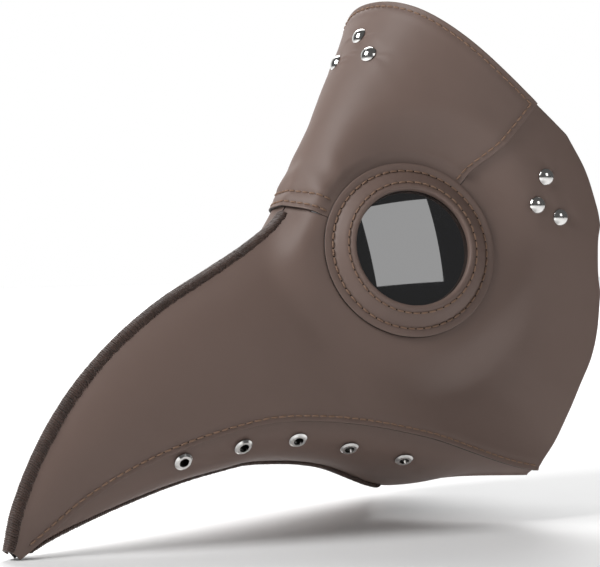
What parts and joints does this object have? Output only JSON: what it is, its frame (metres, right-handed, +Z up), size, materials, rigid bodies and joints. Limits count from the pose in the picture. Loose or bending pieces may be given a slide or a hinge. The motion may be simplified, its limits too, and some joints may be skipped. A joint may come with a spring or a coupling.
{
  "type": "plague doctor mask",
  "caption": "Stitched leather beak mask with round glass eyepieces, breathing eyelets along the jaw and riveted head straps with a buckle.",
  "frame": {"origin": "middle of the opening for the head, at eye level, on the plane of symmetry", "axes": "+X to the wearer's left, +Y towards the back of the head so the beak points to -Y, +Z up"},
  "size_m": [0.1488, 0.3689, 0.2757],
  "materials": {
    "mask_leather": "smooth brown artificial leather, fine grain, semi-gloss",
    "strap_leather": "dark brown leather strap",
    "thread": "brown waxed sewing thread",
    "lens": "dark glossy lens",
    "retainer": "black stiff backing ring",
    "nickel": "polished nickel plate"
  },
  "bodies": {
    "mask": {"side_panel_left": "mask_leather", "side_panel_right": "mask_leather", "forehead_panel": "mask_leather", "jaw_panel_left": "mask_leather", "jaw_panel_right": "mask_leather", "ridge_whip_stitch": "thread", "keel_whip_stitch": "thread", "eye_ring_left": "mask_leather", "eye_ring_right": "mask_leather", "lens_left": "lens", "lens_right": "lens", "lens_retainer_left": "retainer", "lens_retainer_right": "retainer", "vent_eyelets_left": "nickel", "vent_eyelets_right": "nickel", "eyelet_washers_left": "nickel", "eyelet_washers_right": "nickel", "temple_rivet_caps_left": "nickel", "temple_rivet_caps_right": "nickel", "temple_rivet_backs_left": "nickel", "temple_rivet_backs_right": "nickel", "brow_rivet_caps": "nickel", "brow_rivet_backs": "nickel", "strap_anchor_left": "strap_leather", "strap_anchor_right": "strap_leather", "strap_anchor_top": "strap_leather"},
    "left_strap": {"strap_left": "strap_leather"},
    "keeper": {"strap_keeper": "strap_leather"},
    "buckle": {"buckle_frame": "nickel"},
    "prong": {"buckle_prong": "nickel"},
    "right_strap": {"strap_right": "strap_leather"},
    "top_strap": {"strap_top": "strap_leather"}
  },
  "joints": [
    {"name": "left_strap_swing", "type": "hinge", "parent": "mask", "child": "left_strap", "pos_m": [0.066, -0.0003, 0.0259], "axis": [0, 0.3256, -0.9455], "range_deg": [-20, 50]},
    {"name": "keeper_slide", "type": "slide", "parent": "left_strap", "child": "keeper", "axis": [-0.8829, 0.4439, 0.1528], "range_m": [0, 0.008]},
    {"name": "buckle_turn", "type": "hinge", "parent": "left_strap", "child": "buckle", "pos_m": [0.02009, 0.02278, 0.03385], "axis": [0, -0.3256, 0.9455], "range_deg": [-35, 35]},
    {"name": "prong_lift", "type": "hinge", "parent": "buckle", "child": "prong", "pos_m": [0.02009, 0.02278, 0.03385], "axis": [0, 0.3256, -0.9455], "range_deg": [0, 60]},
    {"name": "right_strap_swing", "type": "hinge", "parent": "mask", "child": "right_strap", "pos_m": [-0.066, -0.0003, 0.0259], "axis": [0, -0.3256, 0.9455], "range_deg": [-12, 10]},
    {"name": "top_strap_swing", "type": "hinge", "parent": "mask", "child": "top_strap", "pos_m": [0, -0.0902, 0.0885], "axis": [1, 0, 0], "range_deg": [-12, 50]}
  ]
}
